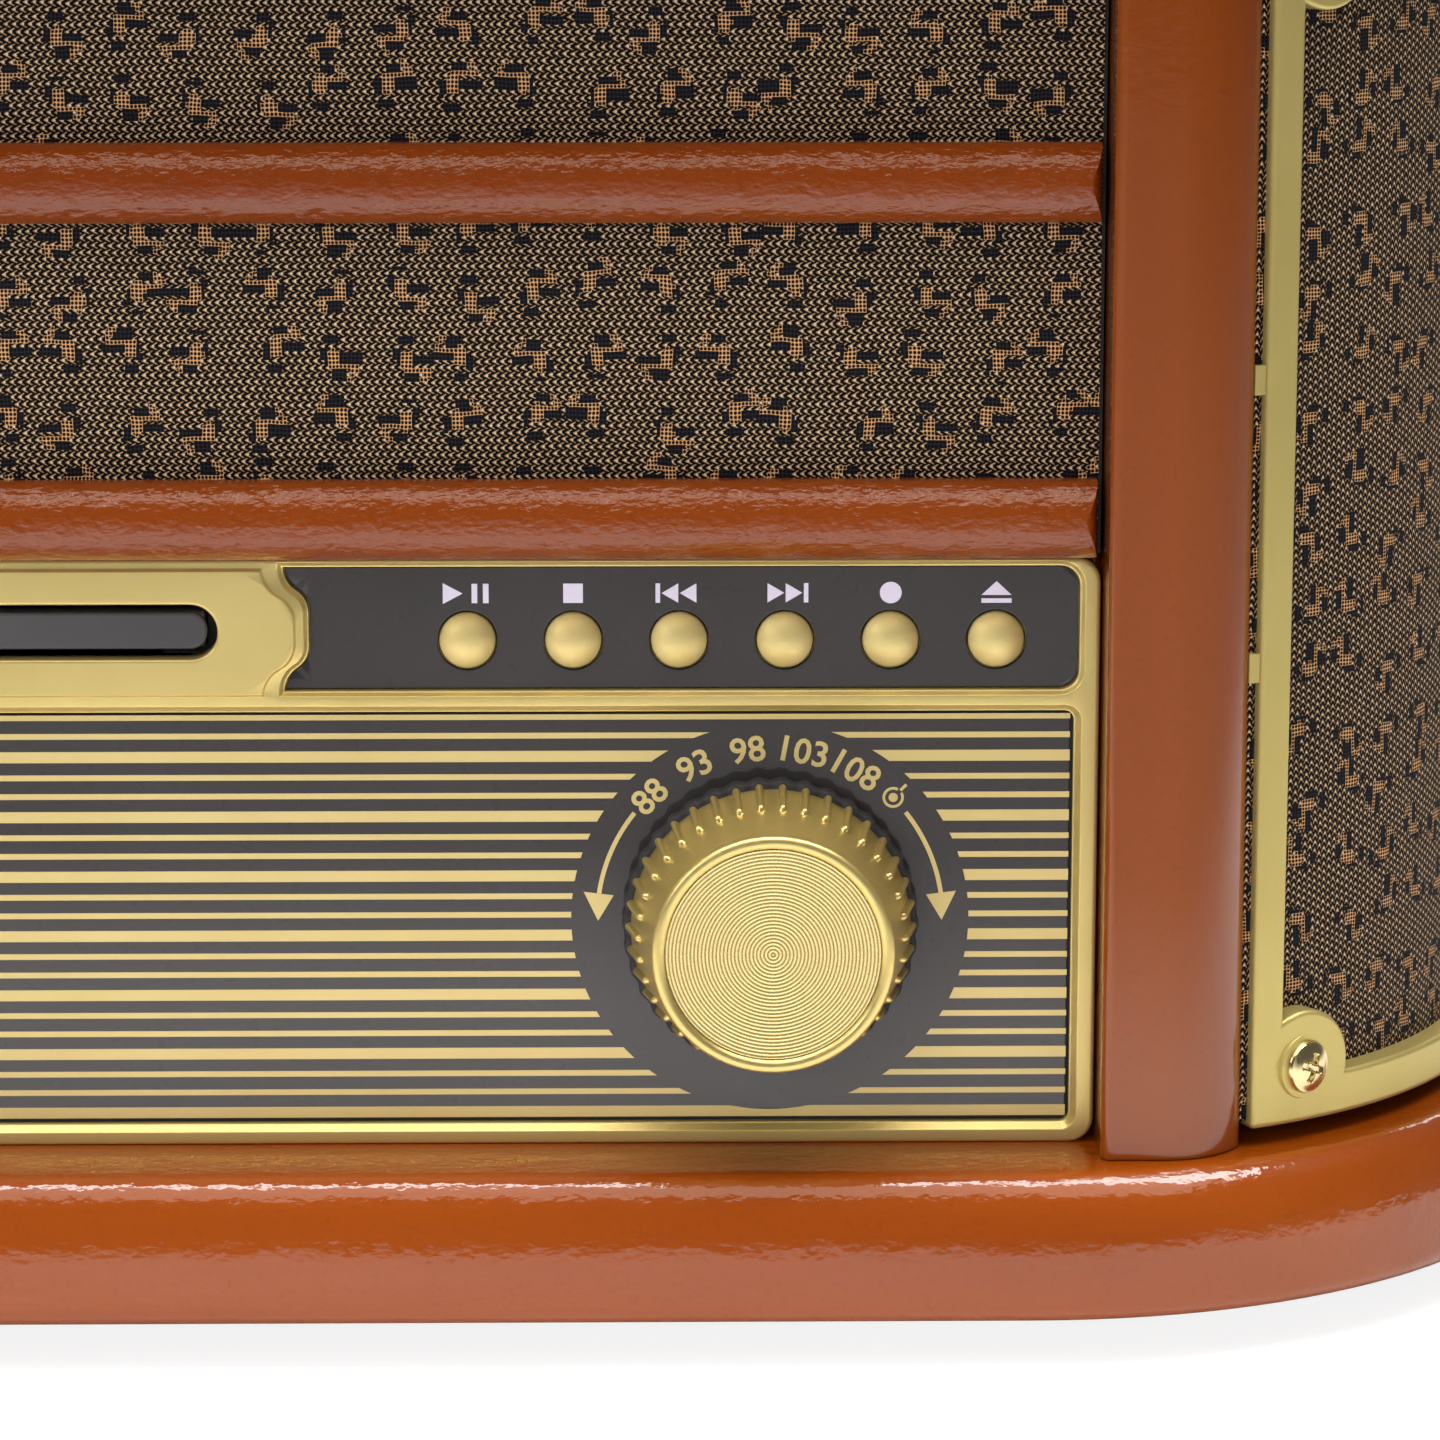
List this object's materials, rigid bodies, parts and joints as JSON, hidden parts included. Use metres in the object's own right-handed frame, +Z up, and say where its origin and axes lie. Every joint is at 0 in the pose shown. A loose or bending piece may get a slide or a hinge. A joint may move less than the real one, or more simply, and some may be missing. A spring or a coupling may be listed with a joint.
{
  "type": "stereo music centre",
  "caption": "Wooden music centre with curved corner grilles, gold control panel with buttons and ribbed knobs, a disc drawer and a belt-driven record deck under a hinged lid.",
  "frame": {"origin": "on the ground under the middle of the bounding box", "axes": "+X to the right seen from the front, +Y to the back, +Z up"},
  "size_m": [0.51, 0.35, 0.252],
  "materials": {
    "wood_lacquer": "orange-brown lacquered wood, glossy",
    "side_wood": "orange-brown lacquered wood, glossy",
    "black_board": "black painted fibreboard",
    "gold_satin": "satin gold paint on moulded plastic",
    "gold_matt": "matt gold moulded plastic",
    "gold_knob": "gold plated plastic",
    "dial_black": "dark grey gloss plate",
    "display_glass": "dark display window",
    "black_plastic": "black moulded plastic",
    "cloth": "brown woven grille cloth",
    "felt": "black felt",
    "rubber": "black rubber",
    "steel": "bright steel",
    "screw_gold": "pale zinc plated steel",
    "aluminium": "turned aluminium",
    "circuit": "green circuit board",
    "paper_cone": "black paper cone and pressed basket"
  },
  "bodies": {
    "cabinet": {"plinth": "wood_lacquer", "top_frame": "wood_lacquer", "post_left": "wood_lacquer", "post_right": "wood_lacquer", "slats": "wood_lacquer", "side_panel_left": "side_wood", "side_panel_right": "side_wood", "front_board": "black_board", "rear_panel": "black_board", "feet": "rubber", "case_screws": "screw_gold", "front_cloth": "cloth", "grille_cloths": "cloth", "grille_frame_left": "gold_matt", "grille_frame_right": "gold_matt", "speakers": "paper_cone", "control_bezel": "gold_satin", "button_plates": "dial_black", "dial_plate": "dial_black", "display": "display_glass", "button_boards": "circuit", "main_board": "circuit", "control_encoders": "black_plastic", "cd_chassis": "black_plastic", "front_sockets": "steel", "rear_sockets": "black_plastic", "transformer": "steel", "deck": "black_plastic", "spindle": "steel", "drive_belt": "rubber", "motor": "steel", "tonearm_base": "black_plastic", "cabinet_hinges": "steel"},
    "tuning_rotor": {"encoder_rotor": "black_plastic"},
    "tuning_control": {"tuning_knob": "gold_knob", "tuning_core": "black_plastic"},
    "volume_control": {"volume_knob": "gold_knob", "volume_core": "black_plastic"},
    "disc_drawer": {"cd_tray": "black_plastic"},
    "platter": {"platter": "aluminium", "slip_mat": "felt"},
    "motor_pulley": {"motor_pulley": "aluminium"},
    "arm_yoke": {"tonearm_yoke": "black_plastic"},
    "tonearm": {"tonearm": "black_plastic", "cartridge": "black_plastic"},
    "cue_lever": {"cue_lever": "black_plastic"},
    "speed_switch": {"speed_switch": "black_plastic"},
    "lid": {"lid": "wood_lacquer", "lid_hinges": "steel", "lid_rail": "steel"},
    "lid_stay": {"lid_stay": "steel"},
    "button_play": {"button_play": "gold_knob"},
    "button_stop": {"button_stop": "gold_knob"},
    "button_previous": {"button_previous": "gold_knob"},
    "button_next": {"button_next": "gold_knob"},
    "button_record": {"button_record": "gold_knob"},
    "button_tray": {"button_tray": "gold_knob"},
    "button_tone": {"button_tone": "gold_knob"},
    "button_source": {"button_source": "gold_knob"},
    "button_power": {"button_power": "gold_knob"}
  },
  "joints": [
    {"name": "play_press", "type": "slide", "parent": "cabinet", "child": "button_play", "axis": [0, 1, 0], "range_m": [0, 0.0012], "stiffness_N_per_m": 300, "springref_m": -0.0008},
    {"name": "stop_press", "type": "slide", "parent": "cabinet", "child": "button_stop", "axis": [0, 1, 0], "range_m": [0, 0.0012], "stiffness_N_per_m": 300, "springref_m": -0.0008},
    {"name": "previous_press", "type": "slide", "parent": "cabinet", "child": "button_previous", "axis": [0, 1, 0], "range_m": [0, 0.0012], "stiffness_N_per_m": 300, "springref_m": -0.0008},
    {"name": "next_press", "type": "slide", "parent": "cabinet", "child": "button_next", "axis": [0, 1, 0], "range_m": [0, 0.0012], "stiffness_N_per_m": 300, "springref_m": -0.0008},
    {"name": "record_press", "type": "slide", "parent": "cabinet", "child": "button_record", "axis": [0, 1, 0], "range_m": [0, 0.0012], "stiffness_N_per_m": 300, "springref_m": -0.0008},
    {"name": "tray_press", "type": "slide", "parent": "cabinet", "child": "button_tray", "axis": [0, 1, 0], "range_m": [0, 0.0012], "stiffness_N_per_m": 300, "springref_m": -0.0008},
    {"name": "tone_press", "type": "slide", "parent": "cabinet", "child": "button_tone", "axis": [0, 1, 0], "range_m": [0, 0.0012], "stiffness_N_per_m": 300, "springref_m": -0.0008},
    {"name": "source_press", "type": "slide", "parent": "cabinet", "child": "button_source", "axis": [0, 1, 0], "range_m": [0, 0.0012], "stiffness_N_per_m": 300, "springref_m": -0.0008},
    {"name": "power_press", "type": "slide", "parent": "cabinet", "child": "button_power", "axis": [0, 1, 0], "range_m": [0, 0.0012], "stiffness_N_per_m": 300, "springref_m": -0.0008},
    {"name": "tuning_turn", "type": "hinge", "parent": "cabinet", "child": "tuning_rotor", "pos_m": [0.14, -0.1552, 0.05595], "axis": [0, -1, 0], "continuous": true},
    {"name": "tuning_push", "type": "slide", "parent": "tuning_rotor", "child": "tuning_control", "axis": [0, 1, 0], "range_m": [0, 0.0005], "stiffness_N_per_m": 600, "springref_m": -0.0008},
    {"name": "volume_turn", "type": "hinge", "parent": "cabinet", "child": "volume_control", "pos_m": [-0.14, -0.1552, 0.05595], "axis": [0, -1, 0], "range_deg": [-150, 150]},
    {"name": "drawer_slide", "type": "slide", "parent": "cabinet", "child": "disc_drawer", "axis": [0, -1, 0], "range_m": [0, 0.128]},
    {"name": "platter_turn", "type": "hinge", "parent": "cabinet", "child": "platter", "pos_m": [-0.05, -0.002, 0.2045], "axis": [0, 0, -1], "continuous": true},
    {"name": "pulley_turn", "type": "hinge", "parent": "cabinet", "child": "motor_pulley", "pos_m": [-0.10657, 0.05457, 0.2075], "axis": [0, 0, -1], "continuous": true},
    {"name": "arm_swing", "type": "hinge", "parent": "cabinet", "child": "arm_yoke", "pos_m": [0.14, 0.095, 0.2153], "axis": [0, 0, -1], "range_deg": [0, 48]},
    {"name": "cue_turn", "type": "hinge", "parent": "cabinet", "child": "cue_lever", "pos_m": [0.16, 0.055, 0.2229], "axis": [-1, 0, 0], "range_deg": [0, 75]},
    {"name": "arm_lift", "type": "hinge", "parent": "arm_yoke", "child": "tonearm", "pos_m": [0.14, 0.095, 0.2275], "axis": [-1, 0, 0], "range_deg": [0, 2]},
    {"name": "speed_slide", "type": "slide", "parent": "cabinet", "child": "speed_switch", "axis": [0, 1, 0], "range_m": [0, 0.008]},
    {"name": "lid_open", "type": "hinge", "parent": "cabinet", "child": "lid", "pos_m": [0, 0.1715, 0.20855], "axis": [-1, 0, 0], "range_deg": [0, 60]},
    {"name": "stay_turn", "type": "hinge", "parent": "cabinet", "child": "lid_stay", "pos_m": [0.2332, 0.0965, 0.20855], "axis": [-1, 0, 0], "range_deg": [0, 120]}
  ],
  "couplings": [
    {"joint": "pulley_turn", "follows": "platter_turn", "ratio": 8.4615},
    {"joint": "stay_turn", "follows": "lid_open", "ratio": 2},
    {"joint": "arm_lift", "follows": "cue_turn", "ratio": 0.026667}
  ]
}
